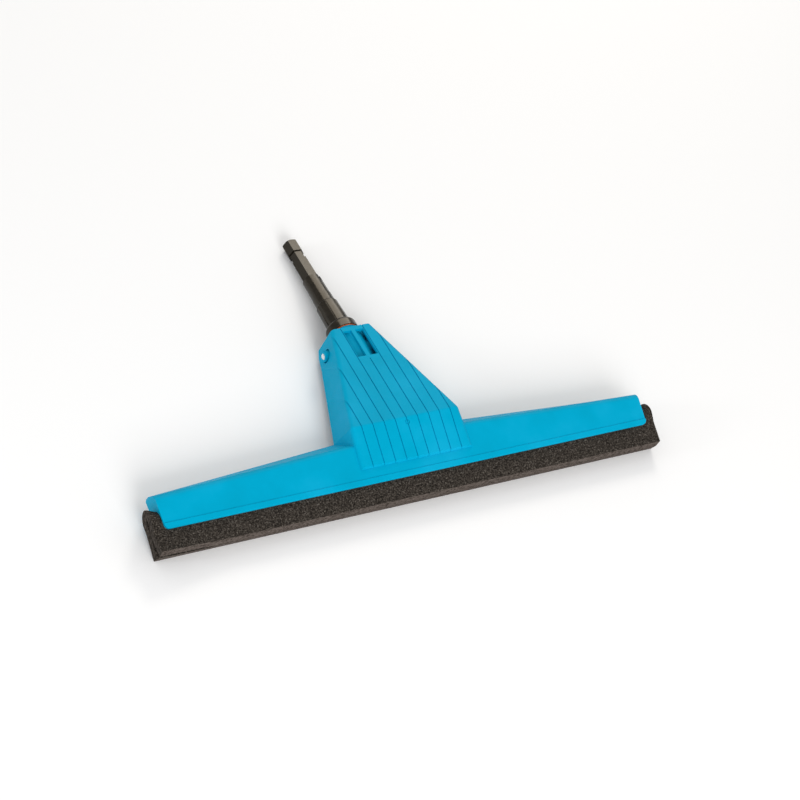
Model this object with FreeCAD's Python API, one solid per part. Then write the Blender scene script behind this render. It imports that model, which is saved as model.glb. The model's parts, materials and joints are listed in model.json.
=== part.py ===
"""Wide foam-lip squeegee head with a tilting stem, one STEP file per piece.

The pieces are drawn with the blade upright: X along the bar, Y from the front of the blade to
the back, Z up from the lips.  The upper tower and the stem share a leaning frame whose origin is
the pivot pin.  At the end everything is turned onto its back, resting on the rear edge of the
blade and the tip of the stem, with +Z up from the surface it lies on.
"""
import FreeCAD, Part
import math
import os

V = FreeCAD.Vector
X_AXIS = V(1, 0, 0)

# Foam blade: one strip folded into two lips
BLADE_LENGTH = 430.0
LIP_THICKNESS = 7.6
LIP_GAP = 0.8
BLADE_HEIGHT = 33.0
BLADE_DEPTH = 2 * LIP_THICKNESS + LIP_GAP
FOLD_RADIUS = BLADE_DEPTH / 2

# Core strip that keeps the fold in its channel
CORE_THICKNESS = 3.0
CORE_BOTTOM = 21.5
CORE_TOP = 28.5

# Bar of the head
BAR_HALF_BOTTOM = 208.0
BAR_HALF_TOP = 209.4
BAR_BOTTOM = 17.6
BAR_FRONT = -2.2
BAR_REAR = BLADE_DEPTH + 2.2
WALL = 2.6
RIM_HEIGHT = 4.3
RIM_PROUD = 0.5
RIM_BEVEL = 0.8
CORNER_RADIUS = 3.6
WALL_SET_BACK = 1.2
ROOF_EDGE_BEVEL = 1.2
ROOF_EDGE_FACE = (1.4, 3.4)
TROUGH_FLOOR = BLADE_HEIGHT + WALL - 0.4
ROOF_END = {"front": 43.6, "rear_y": 19.4, "rear_z": 46.8, "shoulder": 5.5}
ROOF_MIDDLE = {"front": 50.2, "rear_y": 26.6, "rear_z": 58.4, "shoulder": 4.0}
RIB_THICKNESS = 1.8
RIB_PITCH = 31.5
RIB_DEPTH = 24.0

# Tower: a vertical lower panel and a leaning upper panel that narrows to the rim
TOWER_HALF = 48.4
TOWER_BOTTOM = 29.4
TOWER_PROUD = 1.5
FOLD_HALF = 46.5
RIM_HALF = 17.2
LEAN = 26.2
PANEL_LENGTH = 100.0
SIDE_SPREAD = 4.0
TOWER_REAR_HALF = FOLD_HALF + SIDE_SPREAD
EDGE_RADIUS = 3.6
GROOVE_PITCH = 9.61
GROOVES_EACH_SIDE = 4
GROOVE_WIDTH = 0.8
GROOVE_DEPTH = 0.8
GATE_RADII = (1.9, 1.3)
GATE_DEPTH = 0.4
GATE_BELOW_FOLD = 4.0

# Leaning frame: the pin is its origin, z runs up the stem and y towards the back
PIN_Y = 47.2
PIN_Z = 133.5
PANEL_Y = -14.4
RIM_Z = 13.6
FOLD_Z = RIM_Z - PANEL_LENGTH
PIN_RADIUS = 2.5
PIN_HALF = 28.0
BOSS_RADIUS = 4.3
BOSS_HALF = 27.4
MOAT_WIDTH = 1.1
MOAT_FLOOR = 19.5
SPACER_RADIUS = 7.2
TOP_WALL = 2.2
RELIEF_HALF = 14.5
RELIEF_FLOOR = 13.2
TOWER_TOP = 16.5
SIDE_TOP = [(9.8, 15.4), (11.6, 8.5), (11.0, -4.0)]
SOCKET_RADIUS = 10.2
SOCKET_WALL = 1.8
SOCKET_BOTTOM = -22.8
TOWER_RIBS = [(0.0, SOCKET_BOTTOM), (15.6, SOCKET_BOTTOM), (31.2, FOLD_Z + 38)]
CROSS_WEBS = [SOCKET_BOTTOM, FOLD_Z + 34]
COLLAR_TOP = 17.6
COLLAR_BACK = -3.0
WINDOW_INNER = 1.7
WINDOW_OUTER = 8.8
WINDOW_TOP = RIM_Z - 4.0
WINDOW_BOTTOM = RIM_Z - 32.5
WINDOW_DEPTH = 7.0
POCKET_ROUND_BOTTOM = 11.4
POCKET_ROUND_TOP = 12.4

# Stem, heights above the pin
NECK_RADIUS = 9.0
HUB_HALF = 7.5
HUB_RADIUS = 6.6
HUB_TOP = 8.0
PIN_CLEARANCE = 0.05
BUSH_RADIUS = 5.4
BUSH_PLAY = 0.1
STOP_REACH = 6.6
STOP_DROP = 6.8
STOP_HALF = 4.0
FLANGE_BOTTOM = 18.6
FLANGE_RADIUS = 13.0
FLANGE_HEIGHT = 9.4
FLANGE_ROUND = 3.2
BASE_BOTTOM_RADIUS = 10.1
BASE_TOP_RADIUS = 9.25
FLUTED_TOP = 53.0
FLUTES = 7
FLUTE_RADIUS = 0.7
BASE_CHAMFER = 1.2
LAND_TOP = 62.0
LAND_RADIUS = 8.15
BODY_TOP = 83.0
BODY_TOP_RADIUS = 7.6
NOTCH_ANGLES = (45, 180)
NOTCH_WIDTH = 3.6
NOTCH_DEPTH = 1.6
NOTCH_LENGTH = 7.0
SHANK_TOP = 105.6
SHANK_FLATS = 12.6
SHANK_TOP_FLATS = 12.0
WAIST_FLATS = 10.4
GROOVE_TOP = 114.2
NOSE_FLATS = 12.2
NOSE_DOME = 12.0
NOSE_CHAMFER = 4.5
NOSE_END_RADIUS = 4.6
TIP = 128.6
RING_THICKNESS = 0.8
RING_RADIUS = 12.3

# Points tried along each edge of the stem when looking for the one it lies on
POINTS_PER_EDGE = 25

# Larger than any piece across the bar: how far cutting shapes reach past what they cut
FAR = 70.0


def lean_point(x, y, z):
    """A point of the leaning frame, in the upright frame."""
    lean = math.radians(LEAN)
    return V(x, PIN_Y + y * math.cos(lean) + z * math.sin(lean),
             PIN_Z - y * math.sin(lean) + z * math.cos(lean))


def lean_shape(shape):
    """Move a shape drawn in the leaning frame into the upright frame."""
    shape = shape.copy()
    shape.Placement = FreeCAD.Placement(V(0, PIN_Y, PIN_Z), FreeCAD.Rotation(X_AXIS, -LEAN))
    return shape


def box(x0, x1, y0, y1, z0, z1):
    return Part.makeBox(x1 - x0, y1 - y0, z1 - z0, V(x0, y0, z0))


def prism(points, half):
    """Extrude a closed outline of (y, z) points from -half to +half along X."""
    wire = Part.makePolygon([V(-half, y, z) for y, z in points + points[:1]])
    return Part.Face(wire).extrude(V(2 * half, 0, 0))


def cylinder_x(radius, x0, x1, y=0.0, z=0.0):
    return Part.makeCylinder(radius, x1 - x0, V(x0, y, z), X_AXIS)


def fuse(shapes):
    return shapes[0].multiFuse(shapes[1:]).removeSplitter()


# ---------------------------------------------------------------- foam blade and core strip

def folded_outline(half_length):
    """Outer form of the folded foam: flat lips with a half-round fold on top."""
    lips = box(-half_length, half_length, 0, BLADE_DEPTH, 0, BLADE_HEIGHT - FOLD_RADIUS)
    fold = cylinder_x(FOLD_RADIUS, -half_length, half_length, FOLD_RADIUS,
                      BLADE_HEIGHT - FOLD_RADIUS)
    return fuse([lips, fold])


def core_strip():
    middle = BLADE_DEPTH / 2
    half = CORE_THICKNESS / 2
    return box(-BAR_HALF_BOTTOM, BAR_HALF_BOTTOM, middle - half, middle + half,
               CORE_BOTTOM, CORE_TOP)


def foam_blade():
    middle = BLADE_DEPTH / 2
    half_length = BLADE_LENGTH / 2
    slit = box(-half_length, half_length, middle - LIP_GAP / 2, middle + LIP_GAP / 2,
               0, CORE_BOTTOM)
    return folded_outline(half_length).cut(slit).cut(core_strip())


# ---------------------------------------------------------------- bar of the head

def bar_section(x, roof):
    """Outline of the bar across X: front wall, round shoulder, sloping roof, rear wall."""
    radius = roof["shoulder"]
    wall_y = BAR_FRONT + WALL_SET_BACK
    shoulder_start = V(x, wall_y, roof["front"] - radius)
    shoulder_mid = V(x, wall_y + 0.22 * radius, roof["front"] - 0.3 * radius)
    shoulder_end = V(x, wall_y + 0.9 * radius, roof["front"] + 0.12 * radius)
    rear_y, rear_z = roof["rear_y"], roof["rear_z"]
    bevel = RIM_BEVEL - RIM_PROUD
    face_top, face_bottom = ROOF_EDGE_FACE
    corners = [V(x, rear_y - ROOF_EDGE_BEVEL, rear_z),
               V(x, rear_y, rear_z - face_top), V(x, rear_y, rear_z - face_bottom),
               V(x, BAR_REAR, BLADE_HEIGHT + 1.0), V(x, BAR_REAR, BAR_BOTTOM),
               V(x, BAR_FRONT + bevel, BAR_BOTTOM), V(x, BAR_FRONT, BAR_BOTTOM + bevel),
               shoulder_start]
    edges = [Part.Arc(shoulder_start, shoulder_mid, shoulder_end).toShape(),
             Part.makeLine(shoulder_end, corners[0])]
    edges += [Part.makeLine(a, b) for a, b in zip(corners, corners[1:])]
    return Part.Wire(edges)


def trough_section(x, roof):
    """Outline of the hollow above the channel, open at the back."""
    floor = TROUGH_FLOOR
    ceiling = roof["front"] - WALL
    slope = (roof["rear_z"] - roof["front"]) / (roof["rear_y"] - BAR_FRONT)
    front = BAR_FRONT + WALL + 1.4
    back = ROOF_MIDDLE["rear_y"] + 4.0
    points = [V(x, front, floor), V(x, front, ceiling),
              V(x, back, ceiling + slope * (back - front)), V(x, back, floor)]
    return Part.makePolygon(points + points[:1])


def rounded_front_outline():
    """The bar seen from the front, with its four corners rounded, as a thick plate."""
    r = CORNER_RADIUS
    top_end = ROOF_END["rear_z"] + 0.2
    high = ROOF_MIDDLE["rear_z"] + 20.0
    half = TOWER_HALF
    k = r * (1 - math.sqrt(0.5))

    def side(sign):
        return [V(sign * (BAR_HALF_BOTTOM - r), 0, BAR_BOTTOM),
                V(sign * (BAR_HALF_BOTTOM - k), 0, BAR_BOTTOM + k),
                V(sign * (BAR_HALF_BOTTOM + 0.15), 0, BAR_BOTTOM + r),
                V(sign * BAR_HALF_TOP, 0, top_end - r),
                V(sign * (BAR_HALF_TOP - k), 0, top_end - k),
                V(sign * (BAR_HALF_TOP - r), 0, top_end + 0.3),
                V(sign * half, 0, high)]

    left, right = side(-1), side(1)
    edges = [Part.makeLine(left[0], right[0]),
             Part.Arc(right[0], right[1], right[2]).toShape(),
             Part.makeLine(right[2], right[3]),
             Part.Arc(right[3], right[4], right[5]).toShape(),
             Part.makeLine(right[5], right[6]),
             Part.makeLine(right[6], left[6]),
             Part.makeLine(left[6], left[5]),
             Part.Arc(left[5], left[4], left[3]).toShape(),
             Part.makeLine(left[3], left[2]),
             Part.Arc(left[2], left[1], left[0]).toShape()]
    face = Part.Face(Part.Wire(edges))
    face.translate(V(0, -20, 0))
    return face.extrude(V(0, 80, 0))


def bar_body():
    stations = [(-BAR_HALF_TOP, ROOF_END), (-TOWER_HALF, ROOF_MIDDLE),
                (TOWER_HALF, ROOF_MIDDLE), (BAR_HALF_TOP, ROOF_END)]
    body = Part.makeLoft([bar_section(x, roof) for x, roof in stations], True, True)
    rim = prism([(BAR_FRONT - RIM_PROUD, BAR_BOTTOM + RIM_BEVEL),
                 (BAR_FRONT - RIM_PROUD + RIM_BEVEL, BAR_BOTTOM), (BAR_FRONT + 1, BAR_BOTTOM),
                 (BAR_FRONT + 1, BAR_BOTTOM + RIM_HEIGHT + 0.6),
                 (BAR_FRONT, BAR_BOTTOM + RIM_HEIGHT + 0.3),
                 (BAR_FRONT - RIM_PROUD, BAR_BOTTOM + RIM_HEIGHT)], BAR_HALF_TOP)
    return fuse([body, rim]).common(rounded_front_outline())


def bar_trough():
    """The hollow above the channel, already divided by the ribs."""
    end = BAR_HALF_TOP - WALL
    stations = [(-end, ROOF_END), (-TOWER_HALF, ROOF_MIDDLE),
                (TOWER_HALF, ROOF_MIDDLE), (end, ROOF_END)]
    hollow = Part.makeLoft([trough_section(x, roof) for x, roof in stations], True, True)
    ribs = [box(-TOWER_REAR_HALF, TOWER_REAR_HALF, -20, 60, 0, 90)]
    count = int((end - TOWER_REAR_HALF) / RIB_PITCH)
    for i in range(1, count + 1):
        for sign in (-1, 1):
            x = sign * (TOWER_REAR_HALF + i * (end - TOWER_REAR_HALF) / (count + 1))
            ribs.append(box(x - RIB_THICKNESS / 2, x + RIB_THICKNESS / 2, -20,
                            ROOF_MIDDLE["rear_y"] - 0.5, 0, 90))
    return hollow.cut(ribs)


# ---------------------------------------------------------------- tower of the head

def side_half(y, z, inset=0.0):
    """Half width of the leaning part of the tower at a point of the upright frame."""
    fold = lean_point(FOLD_HALF, PANEL_Y, FOLD_Z)
    rim = lean_point(RIM_HALF, PANEL_Y, RIM_Z)
    rear = V(TOWER_REAR_HALF, ROOF_MIDDLE["rear_y"] - 0.4, ROOF_MIDDLE["rear_z"])
    normal = (rim - fold).cross(rear - fold)
    x = fold.x - (normal.y * (y - fold.y) + normal.z * (z - fold.z)) / normal.x
    return x - inset * normal.Length / abs(normal.x)


def trapezoid(front, rear):
    """Closed wire through the front pair and the rear pair of mirrored points."""
    points = [V(-front.x, front.y, front.z), front, rear, V(-rear.x, rear.y, rear.z)]
    return Part.makePolygon(points + points[:1])


def tower_outer():
    front_y = BAR_FRONT - TOWER_PROUD
    fold = lean_point(FOLD_HALF, PANEL_Y, FOLD_Z)
    top = lean_point(0, PANEL_Y, TOWER_TOP)
    high = lean_point(0, PANEL_Y + 40, TOWER_TOP)
    under_ramp = prism([(BAR_FRONT, TOWER_BOTTOM), (front_y - 1, TOWER_BOTTOM + TOWER_PROUD + 1),
                        (front_y - 1, TOWER_BOTTOM - 1), (BAR_FRONT, TOWER_BOTTOM - 1)], TOWER_HALF + 1)
    sections = [
        trapezoid(V(TOWER_HALF, front_y, TOWER_BOTTOM), V(TOWER_REAR_HALF, 17.0, TOWER_BOTTOM)),
        trapezoid(fold, V(TOWER_REAR_HALF, ROOF_MIDDLE["rear_y"] - 0.4, ROOF_MIDDLE["rear_z"])),
        trapezoid(V(side_half(top.y, top.z), top.y, top.z),
                  V(side_half(high.y, high.z), high.y, high.z))]
    body = Part.makeLoft(sections, True, True)
    rounded = body.makeFillet(EDGE_RADIUS, [e for e in body.Edges if is_front_edge(e)])
    return rounded.cut(under_ramp)


def is_front_edge(edge):
    """The fold line and the two long edges that frame the front of the tower."""
    a, b = (v.Point for v in edge.Vertexes)
    front = all(p.y < side_front(p.z) + 0.5 for p in (a, b))
    low = max(a.z, b.z) < TOWER_BOTTOM + 0.1
    return front and not low and min(a.z, b.z) < PIN_Z - 40


def side_front(z):
    """Y of the front face of the tower at a height."""
    fold = lean_point(0, PANEL_Y, FOLD_Z)
    return max(fold.y, fold.y + (z - fold.z) * math.tan(math.radians(LEAN)))


def to_lean(y, z):
    lean = math.radians(LEAN)
    dy, dz = y - PIN_Y, z - PIN_Z
    return (dy * math.cos(lean) - dz * math.sin(lean), dy * math.sin(lean) + dz * math.cos(lean))


def side_outline():
    """Outline of the tower's side walls in the leaning frame: rim, top corner, rear edge."""
    rear = to_lean(ROOF_MIDDLE["rear_y"] - 0.4, ROOF_MIDDLE["rear_z"])
    return ([(PANEL_Y - 20, RIM_Z), (PANEL_Y + WALL, RIM_Z)] + SIDE_TOP
            + [rear, to_lean(ROOF_MIDDLE["rear_y"] - 0.4, TOWER_BOTTOM - 30),
               (PANEL_Y - 60, FOLD_Z - 60)])


def tower_cavity():
    """Space inside the tower's walls, open at the back and divided by ribs."""
    front_y = BAR_FRONT - TOWER_PROUD + WALL
    floor = TROUGH_FLOOR
    back = 60.0
    fold = lean_point(0, PANEL_Y + WALL, FOLD_Z)
    fold_back = lean_point(0, PANEL_Y + back, FOLD_Z)
    rim = lean_point(0, PANEL_Y + WALL, RIM_Z)
    rim_back = lean_point(0, PANEL_Y + back, RIM_Z)
    lower = TOWER_HALF - WALL
    sections = [
        trapezoid(V(lower, front_y, floor), V(lower, back, floor)),
        trapezoid(V(FOLD_HALF - WALL, fold.y, fold.z),
                  V(side_half(fold_back.y, fold_back.z, WALL), fold_back.y, fold_back.z)),
        trapezoid(V(side_half(rim.y, rim.z, WALL), rim.y, rim.z),
                  V(side_half(rim_back.y, rim_back.z, WALL), rim_back.y, rim_back.z))]
    upper = Part.makeLoft(sections[1:], True, True)
    low = prism([(front_y, floor), (fold.y, fold.z), (back, fold.z), (back, floor)],
                FOLD_HALF - WALL)
    hollow = fuse([upper, low])
    under_top = lean_shape(box(-FAR, FAR, -FAR, 2 * FAR, -3 * FAR, RIM_Z - TOP_WALL))
    return hollow.common(under_top).cut(tower_ribs())


def tower_ribs():
    """Upright ribs behind the panel, two cross webs, and the solid round of the socket."""
    depth = RIB_DEPTH
    half = RIB_THICKNESS / 2
    shapes = []
    for x, top in TOWER_RIBS:
        for sign in (-1, 1):
            shapes.append(lean_shape(box(sign * x - half, sign * x + half, PANEL_Y - 1,
                                         PANEL_Y + depth, FOLD_Z - 40, top)))
    for z in CROSS_WEBS:
        shapes.append(lean_shape(box(-FAR, FAR, PANEL_Y - 1, PANEL_Y + depth - 2, z - 2, z)))
    shapes.append(lean_shape(socket_round(SOCKET_RADIUS + SOCKET_WALL, SOCKET_BOTTOM, COLLAR_TOP)))
    shapes.append(lean_shape(cylinder_x(SPACER_RADIUS, -BOSS_HALF, BOSS_HALF)))
    return shapes[0].multiFuse(shapes[1:])


def socket_round(radius, bottom, top):
    """Round front and straight cheeks, reaching back to the rear of the boss."""
    round_part = Part.makeCylinder(radius, top - bottom, V(0, 0, bottom))
    cheeks = box(-radius, radius, 0, 40.0, bottom, top)
    return fuse([round_part, cheeks])


def collar():
    """Half ring that stands on the rim in front of the stem."""
    ring = socket_round(SOCKET_RADIUS + SOCKET_WALL, RIM_Z - 6, COLLAR_TOP)
    back = prism([(COLLAR_BACK, COLLAR_TOP + 1), (60, COLLAR_TOP + 1), (60, -60),
                  (SOCKET_RADIUS + SOCKET_WALL, 0.0)], 30)
    return lean_shape(ring.cut(back))


def flange_relief():
    """Room in the tower's top for the flange when the stem tilts."""
    return lean_shape(box(-RELIEF_HALF, RELIEF_HALF, PANEL_Y + WALL, FAR, RELIEF_FLOOR, FAR))


def boss_moats():
    """Ring-shaped recess in each side wall around the boss of the pin."""
    tools = []
    for sign in (-1, 1):
        x0, x1 = sorted((sign * MOAT_FLOOR, sign * (BOSS_HALF + 5)))
        tools.append(cylinder_x(BOSS_RADIUS + MOAT_WIDTH, x0, x1).cut(cylinder_x(BOSS_RADIUS, x0, x1)))
    return lean_shape(tools[0].fuse(tools[1]))


def windows():
    """Two pockets in the leaning panel that show the tapered round of the socket."""
    round_wall = Part.makeCone(POCKET_ROUND_BOTTOM, POCKET_ROUND_TOP, WINDOW_TOP - WINDOW_BOTTOM,
                               V(0, 0, WINDOW_BOTTOM))
    tools = []
    for sign in (-1, 1):
        x0, x1 = sorted((sign * WINDOW_INNER, sign * WINDOW_OUTER))
        pocket = box(x0, x1, PANEL_Y - 1, PANEL_Y + WINDOW_DEPTH, WINDOW_BOTTOM, WINDOW_TOP)
        tools.append(pocket.cut(round_wall))
    return [lean_shape(tool) for tool in tools]


def grooves(outer):
    """Narrow upright grooves that run over the front of the tower."""
    lean = math.radians(LEAN)
    moved = outer.copy()
    moved.translate(V(0, GROOVE_DEPTH * math.cos(lean / 2), -GROOVE_DEPTH * math.sin(lean / 2)))
    skin = outer.cut(moved)
    half = GROOVE_WIDTH / 2
    slabs = []
    for i in range(-GROOVES_EACH_SIDE, GROOVES_EACH_SIDE + 1):
        x = i * GROOVE_PITCH
        top = 200.0
        if i == 0:
            top = lean_point(0, PANEL_Y, WINDOW_BOTTOM - 3).z
        slabs.append(box(x - half, x + half, -20, 80, TOWER_BOTTOM - 2, top))
    return skin.common(slabs[0].multiFuse(slabs[1:]))


def gate_mark():
    """Small ring-shaped mark just below the fold."""
    z = lean_point(0, PANEL_Y, FOLD_Z).z - GATE_BELOW_FOLD
    base = V(0, BAR_FRONT - TOWER_PROUD - 1, z)
    rings = [Part.makeCylinder(radius, 1 + GATE_DEPTH, base, V(0, 1, 0)) for radius in GATE_RADII]
    return rings[0].cut(rings[1])


def head_shell():
    outer = tower_outer()
    trimmed = outer.common(lean_shape(prism(side_outline(), FAR))).cut(flange_relief())
    boss = lean_shape(cylinder_x(BOSS_RADIUS, -BOSS_HALF, BOSS_HALF))
    tower = fuse([trimmed.cut(grooves(outer)).cut(boss_moats()), boss, collar()])
    shell = fuse([bar_body(), tower])
    bore = lean_shape(socket_round(SOCKET_RADIUS, SOCKET_BOTTOM - 6, COLLAR_TOP + 5))
    pin_hole = lean_shape(cylinder_x(PIN_RADIUS, -BOSS_HALF - 5, BOSS_HALF + 5))
    tools = [tower_cavity(), bar_trough(), folded_outline(BLADE_LENGTH), bore, pin_hole,
             gate_mark()] + windows()
    for tool in tools:
        shell = shell.cut(tool)
    return shell.removeSplitter()


# ---------------------------------------------------------------- pivot

def pivot_pin():
    pin = cylinder_x(PIN_RADIUS, -PIN_HALF, PIN_HALF)
    ends = [e for e in pin.Edges if len(e.Vertexes) == 1]
    return lean_shape(pin.makeChamfer(0.5, ends))


def pivot_bush(sign):
    """Spacer between the hub of the stem and one cheek of the socket."""
    inner = HUB_HALF + BUSH_PLAY
    outer = SOCKET_RADIUS
    x0, x1 = sorted((sign * inner, sign * outer))
    bush = cylinder_x(BUSH_RADIUS, x0, x1).cut(cylinder_x(PIN_RADIUS, x0, x1))
    inside = Part.makeCylinder(SOCKET_RADIUS, 20, V(0, 0, -10))
    cheek_side = box(-SOCKET_RADIUS, SOCKET_RADIUS, 0, 10, -10, 10)
    return lean_shape(bush.common(fuse([inside, cheek_side])))


# ---------------------------------------------------------------- stem

def hexagon(across_flats, bottom, top, end_flats=None):
    """Six-sided bar with a flat at the front and the back; it may taper."""
    def wire(z, width):
        radius = width / math.sqrt(3)
        points = [V(radius * math.cos(math.radians(60 * i)),
                    radius * math.sin(math.radians(60 * i)), z) for i in range(6)]
        return Part.makePolygon(points + points[:1])
    return Part.makeLoft([wire(bottom, across_flats), wire(top, end_flats or across_flats)],
                         True, True)


def stem_head():
    """Six-sided nose with blunted corners and a domed end."""
    corner_radius = NOSE_FLATS / 2 * 1.5
    bar = hexagon(NOSE_FLATS, GROOVE_TOP, TIP)
    straight = TIP - GROOVE_TOP - NOSE_CHAMFER
    turned_end = Part.makeCylinder(corner_radius, straight, V(0, 0, GROOVE_TOP)).fuse(
        Part.makeCone(corner_radius, NOSE_END_RADIUS, NOSE_CHAMFER, V(0, 0, TIP - NOSE_CHAMFER)))
    dome = Part.makeSphere(NOSE_DOME, V(0, 0, TIP - NOSE_DOME))
    round_end = dome.fuse(Part.makeCylinder(corner_radius, straight, V(0, 0, GROOVE_TOP)))
    return bar.common(turned_end).common(round_end)


def stem_base():
    """Tapered base with its chamfered top, and the flange."""
    height = FLUTED_TOP - BASE_CHAMFER - FLANGE_BOTTOM
    base = Part.makeCone(BASE_BOTTOM_RADIUS, BASE_TOP_RADIUS, height, V(0, 0, FLANGE_BOTTOM))
    top = Part.makeCone(BASE_TOP_RADIUS, LAND_RADIUS + 0.3, BASE_CHAMFER, V(0, 0, FLANGE_BOTTOM + height))
    flange = Part.makeCylinder(FLANGE_RADIUS, FLANGE_HEIGHT, V(0, 0, FLANGE_BOTTOM))
    top_edge = [e for e in flange.Edges
                if len(e.Vertexes) == 1 and e.Vertexes[0].Point.z > FLANGE_BOTTOM + 1]
    return [base.cut(base_flutes()), top, flange.makeFillet(FLANGE_ROUND, top_edge)]


def stem_upper():
    """Nose, waist, six-sided shank, tapered body, land, fluted base and flange."""
    waist = hexagon(WAIST_FLATS, SHANK_TOP - 1, GROOVE_TOP + 1)
    shank = hexagon(SHANK_FLATS, BODY_TOP - 4, SHANK_TOP, SHANK_TOP_FLATS)
    body = Part.makeCone(LAND_RADIUS - 0.25, BODY_TOP_RADIUS, BODY_TOP - LAND_TOP, V(0, 0, LAND_TOP))
    land = Part.makeCylinder(LAND_RADIUS, LAND_TOP - FLUTED_TOP, V(0, 0, FLUTED_TOP))
    upper = fuse([stem_head(), waist, shank, body, land] + stem_base())
    return upper.cut(body_notches())


def body_notches():
    """Locating notches in the top edge of the tapered body: one beside the front, one behind."""
    tools = []
    for angle in NOTCH_ANGLES:
        notch = box(-NOTCH_WIDTH / 2, NOTCH_WIDTH / 2, -9.0, NOTCH_DEPTH - BODY_TOP_RADIUS,
                    BODY_TOP - NOTCH_LENGTH, BODY_TOP + 1.0)
        notch.rotate(V(0, 0, 0), V(0, 0, 1), angle)
        tools.append(notch)
    return tools[0].multiFuse(tools[1:])


def base_flutes():
    """Narrow flutes along the tapered base, none of them in the middle of the front."""
    bottom = FLANGE_BOTTOM + FLANGE_HEIGHT + 1.0
    top = FLUTED_TOP - BASE_CHAMFER - 1.0
    tools = []
    for i in range(FLUTES):
        flute = Part.makeCylinder(FLUTE_RADIUS, top - bottom, V(0, -BASE_TOP_RADIUS - 0.3, bottom))
        flute.rotate(V(0, 0, 0), V(0, 0, 1), (i + 0.5) * 360 / FLUTES)
        tools.append(flute)
    return tools[0].multiFuse(tools[1:])


def stem():
    neck = Part.makeCylinder(NECK_RADIUS, FLANGE_BOTTOM + 1.0)
    hub = cylinder_x(HUB_RADIUS, -HUB_HALF, HUB_HALF)
    reach = NECK_RADIUS + 3.0
    cheek_cut = [box(HUB_HALF, reach, -reach, reach, -NECK_RADIUS, HUB_TOP),
                 box(-reach, -HUB_HALF, -reach, reach, -NECK_RADIUS, HUB_TOP)]
    stop = box(-STOP_HALF, STOP_HALF, -STOP_REACH, 0, -STOP_DROP, 0)
    body = fuse([stem_upper(), neck, hub, stop])
    for tool in cheek_cut:
        body = body.cut(tool)
    bore = cylinder_x(PIN_RADIUS + PIN_CLEARANCE, -reach, reach)
    return lean_shape(body.cut(bore).removeSplitter())


def stem_ring():
    """Coloured ring under the flange."""
    bottom = FLANGE_BOTTOM - RING_THICKNESS
    ring = Part.makeCylinder(RING_RADIUS, RING_THICKNESS, V(0, 0, bottom))
    return lean_shape(ring.cut(Part.makeCylinder(NECK_RADIUS, RING_THICKNESS, V(0, 0, bottom))))


# ---------------------------------------------------------------- lay the head on its back

def rest_angle(stem_shape):
    """Lean of the plane through the blade's rear edge and the lowest point of the stem's tip."""
    edges = [e for e in stem_shape.Edges if not e.Degenerated]
    points = [p for e in edges for p in e.discretize(POINTS_PER_EDGE)]
    return max(math.degrees(math.atan2(p.y - BLADE_DEPTH, p.z)) for p in points if p.z > PIN_Z)


def main():
    os.makedirs("parts", exist_ok=True)
    pieces = {
        "head_shell": head_shell(),
        "foam_blade": foam_blade(),
        "core_strip": core_strip(),
        "pivot_pin": pivot_pin(),
        "pivot_bush_left": pivot_bush(-1),
        "pivot_bush_right": pivot_bush(1),
        "stem": stem(),
        "stem_ring": stem_ring(),
    }
    angle = rest_angle(pieces["stem"])
    for shape in pieces.values():
        shape.rotate(V(0, BLADE_DEPTH, 0), X_AXIS, angle - 90)
    whole = Part.makeCompound(list(pieces.values())).optimalBoundingBox(False, False)
    shift = V(0, -(whole.YMin + whole.YMax) / 2, 0)
    for name, shape in pieces.items():
        shape.translate(shift)
        shape.exportStep("parts/" + name + ".step")
        print(name, "solids", len(shape.Solids), "valid", shape.isValid(),
              "volume", round(shape.Volume, 1))
    pin = shift + turned(V(0, PIN_Y, PIN_Z), angle)
    print("rest angle", round(angle, 3), "pin", pin, "box", whole)


def turned(point, angle):
    """A point of the upright frame after the head is laid on its back."""
    turn = FreeCAD.Rotation(X_AXIS, angle - 90)
    base = V(0, BLADE_DEPTH, 0)
    return base + turn.multVec(point - base)


main()
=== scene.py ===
"""Squeegee head lying on its back: materials for the CAD pieces, and a modelled foam blade."""
import json
import math

import bpy
from mathutils import Matrix, Vector


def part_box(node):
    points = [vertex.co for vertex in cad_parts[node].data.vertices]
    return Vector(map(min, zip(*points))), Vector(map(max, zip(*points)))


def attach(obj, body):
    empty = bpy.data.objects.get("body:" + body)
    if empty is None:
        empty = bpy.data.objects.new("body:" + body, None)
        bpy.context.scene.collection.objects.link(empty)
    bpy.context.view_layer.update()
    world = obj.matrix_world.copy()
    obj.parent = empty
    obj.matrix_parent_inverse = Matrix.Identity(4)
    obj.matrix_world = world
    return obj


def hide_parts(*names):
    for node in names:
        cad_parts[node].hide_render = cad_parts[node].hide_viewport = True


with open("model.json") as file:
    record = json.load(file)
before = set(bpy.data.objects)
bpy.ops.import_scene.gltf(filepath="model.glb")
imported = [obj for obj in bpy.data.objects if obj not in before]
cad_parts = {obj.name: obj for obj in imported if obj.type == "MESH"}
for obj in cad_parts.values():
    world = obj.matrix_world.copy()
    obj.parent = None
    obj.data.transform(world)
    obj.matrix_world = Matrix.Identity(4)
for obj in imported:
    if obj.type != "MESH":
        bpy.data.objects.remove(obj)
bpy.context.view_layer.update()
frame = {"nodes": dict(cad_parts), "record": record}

MM = 0.001
NODES = frame["nodes"]


# ---------------------------------------------------------------- places read from the frame

def mount(name):
    """Position and axis of one of the record's mounts."""
    found = next(m for m in frame["record"]["mounts"] if m["name"] == name)
    return Vector(found["pos_m"]), Vector(found["axis"])


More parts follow.
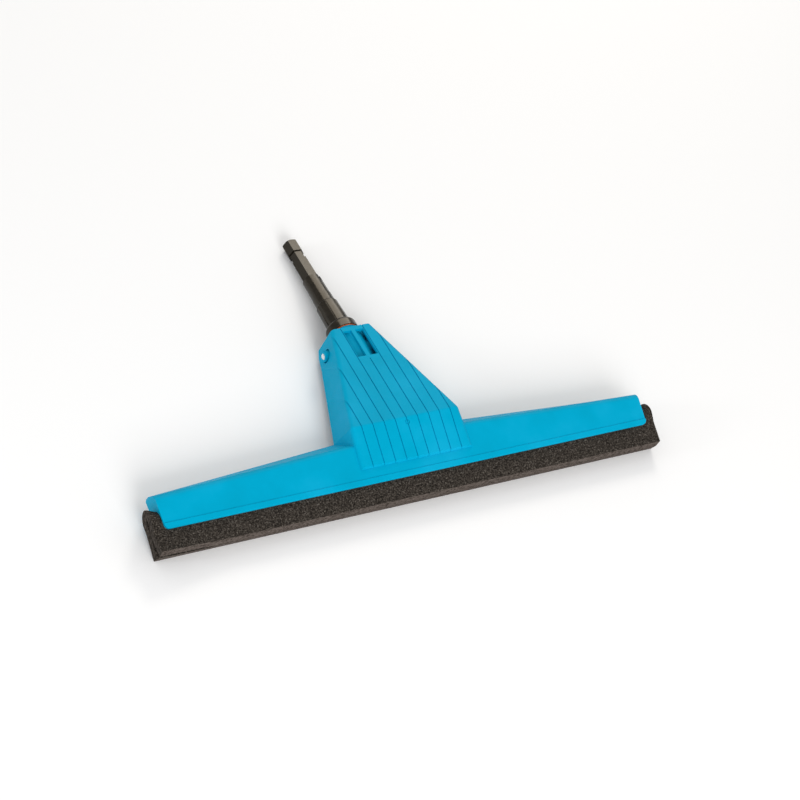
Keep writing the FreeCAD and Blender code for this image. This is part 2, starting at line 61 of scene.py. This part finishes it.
LIP_THICKNESS = 7.6 * MM
LIP_GAP = 0.8 * MM
BLADE_DEPTH = 2 * LIP_THICKNESS + LIP_GAP
BLADE_HEIGHT = 33.0 * MM
BLADE_UP = -mount("lip_edge")[1]
BLADE_BACK = BLADE_UP.cross(Vector((1, 0, 0)))
BLADE_ORIGIN = mount("lip_edge")[0] - BLADE_BACK * LIP_THICKNESS / 2
BLADE_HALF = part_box("foam_blade")[1].x


def blade_point(x, y, z):
    """A point given along the bar, back from the blade's front face and up from the lips."""
    return BLADE_ORIGIN + Vector((x, 0, 0)) + BLADE_BACK * y + BLADE_UP * z


# ---------------------------------------------------------------- camera, floor and light

# Where the camera stands, and the directions behind it and over it, in metres
CAMERA_PLACE = Vector((-0.6542, -0.77149, 1.10837))
CAMERA_BACK = Vector((-0.45579, -0.49262, 0.74134))
CAMERA_UP = Vector((0.17308, 0.76793, 0.6167))
CAMERA_LENS = 85.0
CAMERA_SENSOR = 36.0
CAMERA_CLIP = (0.01, 100.0)

FLOOR_HALF = 6.0
FLOOR_GREY = 0.98
WORLD_STRENGTH = 0.6
KEY_PLACE = (-0.3, -1.9, 1.1)
LEFT_PLACE = (-1.75, 0.1, 0.55)
FILL_PLACE = (0.75, 1.2, 1.1)
SHEEN_PLACE = (0.43, 1.33, 1.18)
SHEEN_ALONG = (-0.94, 0, 0.34)
COOL = (0.93, 0.96, 1.0)
WARM = (1.0, 0.95, 0.87)


def make_camera():
    data = bpy.data.cameras.new("camera")
    data.lens = CAMERA_LENS
    data.sensor_width = CAMERA_SENSOR
    data.clip_start, data.clip_end = CAMERA_CLIP
    camera = bpy.data.objects.new("camera", data)
    bpy.context.scene.collection.objects.link(camera)
    back = CAMERA_BACK.normalized()
    right = CAMERA_UP.cross(back).normalized()
    up = back.cross(right)
    turn = Matrix((right, up, back)).transposed().to_4x4()
    camera.matrix_world = Matrix.Translation(CAMERA_PLACE) @ turn
    bpy.context.scene.camera = camera
    bpy.context.scene.view_settings.view_transform = "Standard"


def area_light(name, place, size, energy, colour=(1, 1, 1), width=None):
    """A rectangular light that points at the middle of the object; size is in metres, energy in watts."""
    data = bpy.data.lights.new(name, "AREA")
    data.shape = "RECTANGLE"
    data.size = size
    data.size_y = width or size
    data.energy = energy
    data.color = colour
    light = bpy.data.objects.new(name, data)
    bpy.context.scene.collection.objects.link(light)
    light.location = place
    light.rotation_mode = "QUATERNION"
    light.rotation_quaternion = (-Vector(place)).to_track_quat("-Z", "Y")
    return light


def turn_light(light, along):
    """Turn a light about its own beam so that its long side runs along a direction."""
    back = light.location.normalized()
    side = Vector(along)
    side = (side - back * side.dot(back)).normalized()
    light.rotation_quaternion = Matrix((side, back.cross(side), back)).transposed().to_quaternion()


def make_floor():
    half = FLOOR_HALF
    mesh = bpy.data.meshes.new("floor")
    mesh.from_pydata([(-half, -half, 0), (half, -half, 0), (half, half, 0), (-half, half, 0)],
                     [], [(0, 1, 2, 3)])
    floor = bpy.data.objects.new("floor", mesh)
    bpy.context.scene.collection.objects.link(floor)
    material, _, _ = new_material("floor_paint", grey(FLOOR_GREY), 0.9)
    floor.data.materials.append(material)


def make_lights():
    """White surroundings, a soft key, a cool light at the left, and a warm pair behind the stem.

    Of the warm pair, the small one only lights and the long one only shines, which gives the
    stem its wide band of light without washing out the blue shell.
    """
    world = bpy.data.worlds.new("studio")
    world.use_nodes = True
    background = world.node_tree.nodes["Background"]
    background.inputs["Color"].default_value = (1, 1, 1, 1)
    background.inputs["Strength"].default_value = WORLD_STRENGTH
    bpy.context.scene.world = world
    area_light("key", KEY_PLACE, 1.0, 27)
    area_light("left", LEFT_PLACE, 0.35, 4, COOL)
    fill = area_light("fill", FILL_PLACE, 0.5, 6.5, WARM)
    fill.visible_glossy = False
    sheen = area_light("sheen", SHEEN_PLACE, 2.1, 26, WARM, width=0.7)
    sheen.visible_diffuse = False
    sheen.visible_camera = False
    turn_light(sheen, SHEEN_ALONG)


# ---------------------------------------------------------------- materials

def grey(value):
    return (value, value, value)


def new_material(name, colour, roughness):
    """A principled material; returns it, its shader node and its node tree."""
    material = bpy.data.materials.new(name)
    material.use_nodes = True
    tree = material.node_tree
    shader = tree.nodes["Principled BSDF"]
    shader.inputs["Base Color"].default_value = (*colour, 1)
    shader.inputs["Roughness"].default_value = roughness
    return material, shader, tree


def object_noise(tree, scale, detail=3.0, roughness=0.5):
    """Noise in the object's own metres."""
    where = tree.nodes.new("ShaderNodeTexCoord")
    node = tree.nodes.new("ShaderNodeTexNoise")
    node.inputs["Scale"].default_value = scale
    node.inputs["Detail"].default_value = detail
    node.inputs["Roughness"].default_value = roughness
    tree.links.new(where.outputs["Object"], node.inputs["Vector"])
    return node


def ramp(tree, source, stops):
    """Colour ramp over a 0 to 1 source; stops are (place, colour)."""
    node = tree.nodes.new("ShaderNodeValToRGB")
    points = node.color_ramp.elements
    points[0].position, points[0].color = stops[0][0], (*stops[0][1], 1)
    points[1].position, points[1].color = stops[-1][0], (*stops[-1][1], 1)
    for place, colour in stops[1:-1]:
        point = points.new(place)
        point.color = (*colour, 1)
    tree.links.new(source, node.inputs["Fac"])
    return node.outputs["Color"]


def add_bump(tree, shader, height, strength, distance):
    """Relief from a height value; distance is its depth in metres."""
    bump = tree.nodes.new("ShaderNodeBump")
    bump.inputs["Strength"].default_value = strength
    bump.inputs["Distance"].default_value = distance
    tree.links.new(height, bump.inputs["Height"])
    tree.links.new(bump.outputs["Normal"], shader.inputs["Normal"])


def shell_material():
    material, shader, tree = new_material("shell_blue", (0.0, 0.36, 0.56), 0.42)
    shader.inputs["Specular IOR Level"].default_value = 0.06
    shader.inputs["Specular Tint"].default_value = (0.12, 0.75, 1.0, 1)
    mottle = object_noise(tree, 26.0, 4.0, 0.55)
    colour = ramp(tree, mottle.outputs["Fac"], [(0.30, (0.0, 0.335, 0.53)),
                                                (0.5, (0.0, 0.36, 0.575)),
                                                (0.72, (0.004, 0.385, 0.62))])
    tree.links.new(colour, shader.inputs["Base Color"])
    fine = object_noise(tree, 900.0, 2.0)
    gloss = ramp(tree, fine.outputs["Fac"], [(0.3, grey(0.44)), (0.7, grey(0.58))])
    tree.links.new(gloss, shader.inputs["Roughness"])
    add_bump(tree, shader, fine.outputs["Fac"], 0.25, 0.00012)
    return material


def foam_material(name, scale, colours, relief):
    """Cellular rubber: four colours on a random grain, from the bottom of the pores to the ribs between
    them, with painted shade in the pores and painted light on the ribs.
    """
    material, shader, tree = new_material(name, colours[1], 0.95)
    shader.inputs["Specular IOR Level"].default_value = 0.12
    grain = object_noise(tree, scale, 3.0, 0.7)
    colour = ramp(tree, grain.outputs["Fac"], list(zip(PORE_STOPS, colours)))
    tree.links.new(colour, shader.inputs["Base Color"])
    add_bump(tree, shader, grain.outputs["Fac"], 0.8, relief)
    return material


def stem_material():
    material, shader, tree = new_material("stem_black", (0.012, 0.010, 0.007), 0.3)
    shader.inputs["Specular IOR Level"].default_value = 0.3
    shader.inputs["Specular Tint"].default_value = (1.0, 0.9, 0.74, 1)
    grain = object_noise(tree, 320.0, 4.0, 0.6)
    colour = ramp(tree, grain.outputs["Fac"],
                  [(0.3, (0.006, 0.005, 0.003)), (0.7, (0.014, 0.011, 0.007))])
    tree.links.new(colour, shader.inputs["Base Color"])
    gloss = ramp(tree, grain.outputs["Fac"], [(0.3, grey(0.17)), (0.7, grey(0.28))])
    tree.links.new(gloss, shader.inputs["Roughness"])
    add_bump(tree, shader, grain.outputs["Fac"], 0.2, 0.00015)
    return material


def plain_moulding(name, dark, light, roughness):
    """Plastic with a faint mottle between two close colours."""
    material, shader, tree = new_material(name, light, roughness)
    grain = object_noise(tree, 240.0, 3.0)
    colour = ramp(tree, grain.outputs["Fac"], [(0.3, dark), (0.7, light)])
    tree.links.new(colour, shader.inputs["Base Color"])
    add_bump(tree, shader, grain.outputs["Fac"], 0.15, 0.0001)
    return material


def steel_material():
    material, shader, tree = new_material("steel", (0.78, 0.78, 0.79), 0.25)
    shader.inputs["Metallic"].default_value = 1.0
    rings = object_noise(tree, 1500.0, 2.0)
    gloss = ramp(tree, rings.outputs["Fac"], [(0.3, grey(0.18)), (0.7, grey(0.34))])
    tree.links.new(gloss, shader.inputs["Roughness"])
    add_bump(tree, shader, rings.outputs["Fac"], 0.1, 0.00005)
    return material


def paint_nodes():
    """Give every CAD node that stays visible its material."""
    bush = plain_moulding("bush_white", (0.6, 0.58, 0.53), (0.74, 0.72, 0.67), 0.45)
    materials = {
        "head_shell": shell_material(), "stem": stem_material(), "pivot_pin": steel_material(),
        "stem_ring": plain_moulding("ring_orange", (0.6, 0.1, 0.015), (0.8, 0.16, 0.03), 0.4),
        "core_strip": plain_moulding("core_grey", (0.2, 0.2, 0.21), (0.27, 0.27, 0.28), 0.5),
        "pivot_bush_left": bush, "pivot_bush_right": bush}
    for name, material in materials.items():
        slots = NODES[name].data.materials
        slots.clear()
        slots.append(material)


# ---------------------------------------------------------------- foam blade

# Grid of the strip: along the bar, round the fold, and through its thickness
STEPS_ALONG = 430
STEPS_ROUND = 96
STEPS_THROUGH = 9

CORE_HALF = 1.5 * MM
CORE_BOTTOM = 21.5 * MM
CORE_TOP = 28.5 * MM
BAR_HALF = 208.0 * MM
BAR_BOTTOM = 17.6 * MM

# How the inner skin moves over from the slit to the core strip
EASE_BELOW_CORE = 1.0 * MM
EASE_LENGTH = 1.5 * MM

# Past the bar's ends the strip swells and stretches; the front lip spreads at the left end
END_SWELL = 2.8 * MM
SWELL_RISE = 1.6
END_STRETCH = 1.5 * MM
SPLAY = 6.5 * MM
SPLAY_LENGTH = 60.0 * MM
SPLAY_CURVE = 1.5
LIP_SLANT = 1.8 * MM
SLANT_CURVE = 4

# Colours at these places of the noise, from pore to rib: a random grain that also paints shade into the
# pore bottoms and light onto the rib tops
PORE_STOPS = (0.36, 0.48, 0.58, 0.72)
PORE_COLOURS = ((0.004, 0.003, 0.002), (0.028, 0.023, 0.018),
                (0.062, 0.052, 0.043), (0.17, 0.15, 0.13))
CUT_COLOURS = ((0.03, 0.022, 0.018), (0.082, 0.066, 0.056),
               (0.11, 0.089, 0.077), (0.15, 0.125, 0.11))
END_COLOURS = ((0.01, 0.008, 0.006), (0.038, 0.031, 0.025),
               (0.06, 0.05, 0.042), (0.11, 0.095, 0.08))


def smooth(value):
    """Ease from 0 to 1."""
    value = min(max(value, 0.0), 1.0)
    return value * value * (3 - 2 * value)


def strip_point(s, r):
    """(y, z) in the folded strip: s runs round the fold, r goes from the outer to the inner skin."""
    radius = BLADE_DEPTH / 2
    straight = BLADE_HEIGHT - radius
    total = 2 * straight + math.pi * radius
    run = s * total
    if run < straight or run > total - straight:
        front = run < straight
        z = run if front else total - run
        blend = min(max((z - CORE_BOTTOM + EASE_BELOW_CORE) / EASE_LENGTH, 0), 1)
        inner = LIP_GAP / 2 + (CORE_HALF - LIP_GAP / 2) * blend
        y = r * (radius - inner)
        return (y if front else BLADE_DEPTH - y), z
    angle = (run - straight) / radius
    top = CORE_TOP - straight
    reach = min(CORE_HALF / max(abs(math.cos(angle)), 1e-6), top / max(math.sin(angle), 1e-6))
    distance = radius + (reach - radius) * r
    return radius - distance * math.cos(angle), straight + distance * math.sin(angle)


def foam_vertex(i, j, k):
    """The strip where it hangs free: swollen past the bar's ends, lips slanted and spread."""
    x = -BLADE_HALF + 2 * BLADE_HALF * i / STEPS_ALONG
    r = k / STEPS_THROUGH
    y, z = strip_point(j / STEPS_ROUND, r)
    free = 1 - z / BAR_BOTTOM
    out = smooth((abs(x) - BAR_HALF) / (BLADE_HALF - BAR_HALF))
    middle, height = y - BLADE_DEPTH / 2, z - BAR_BOTTOM
    swell = END_SWELL * out * (1 - r) * smooth(height / (BLADE_HEIGHT - BAR_BOTTOM) * SWELL_RISE)
    if free < 0:
        length = math.hypot(middle, height)
        y, z = y + swell * middle / length, z + swell * height / length
    elif y < BLADE_DEPTH / 2:
        spread = SPLAY * smooth((-x - BLADE_HALF + SPLAY_LENGTH) / SPLAY_LENGTH)
        y -= spread * free ** SPLAY_CURVE
        z += LIP_SLANT * (1 - r) * free ** SLANT_CURVE
    x += math.copysign(END_STRETCH * out, x)
    return blade_point(x, y, z)


def foam_blade():
    """The folded strip as a closed grid: porous skin, smooth cut lips and cut ends."""
    index, points, faces, kinds = {}, [], [], []
    m, n, t = STEPS_ALONG, STEPS_ROUND, STEPS_THROUGH

    def corner(key):
        if key not in index:
            index[key] = len(points)
            points.append(foam_vertex(*key))
        return index[key]

    def face(kind, *keys):
        faces.append([corner(key) for key in keys])
        kinds.append(kind)

    for i in range(m):
        for j in range(n):
            face(0, (i, j, 0), (i, j + 1, 0), (i + 1, j + 1, 0), (i + 1, j, 0))
            face(0, (i, j, t), (i + 1, j, t), (i + 1, j + 1, t), (i, j + 1, t))
        for k in range(t):
            face(1, (i, 0, k), (i + 1, 0, k), (i + 1, 0, k + 1), (i, 0, k + 1))
            face(1, (i, n, k), (i, n, k + 1), (i + 1, n, k + 1), (i + 1, n, k))
    for j in range(n):
        for k in range(t):
            face(2, (0, j, k), (0, j, k + 1), (0, j + 1, k + 1), (0, j + 1, k))
            face(2, (m, j, k), (m, j + 1, k), (m, j + 1, k + 1), (m, j, k + 1))
    mesh = bpy.data.meshes.new("foam_lips")
    mesh.from_pydata(points, [], faces)
    mesh.materials.append(foam_material("foam", 900.0, PORE_COLOURS, 0.0007))
    mesh.materials.append(foam_material("foam_cut", 500.0, CUT_COLOURS, 0.0002))
    mesh.materials.append(foam_material("foam_end", 420.0, END_COLOURS, 0.0004))
    mesh.polygons.foreach_set("material_index", kinds)
    mesh.update()
    piece = bpy.data.objects.new("foam_lips", mesh)
    bpy.context.scene.collection.objects.link(piece)
    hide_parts("foam_blade")
    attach(piece, "head")


make_camera()
make_floor()
make_lights()
paint_nodes()
foam_blade()
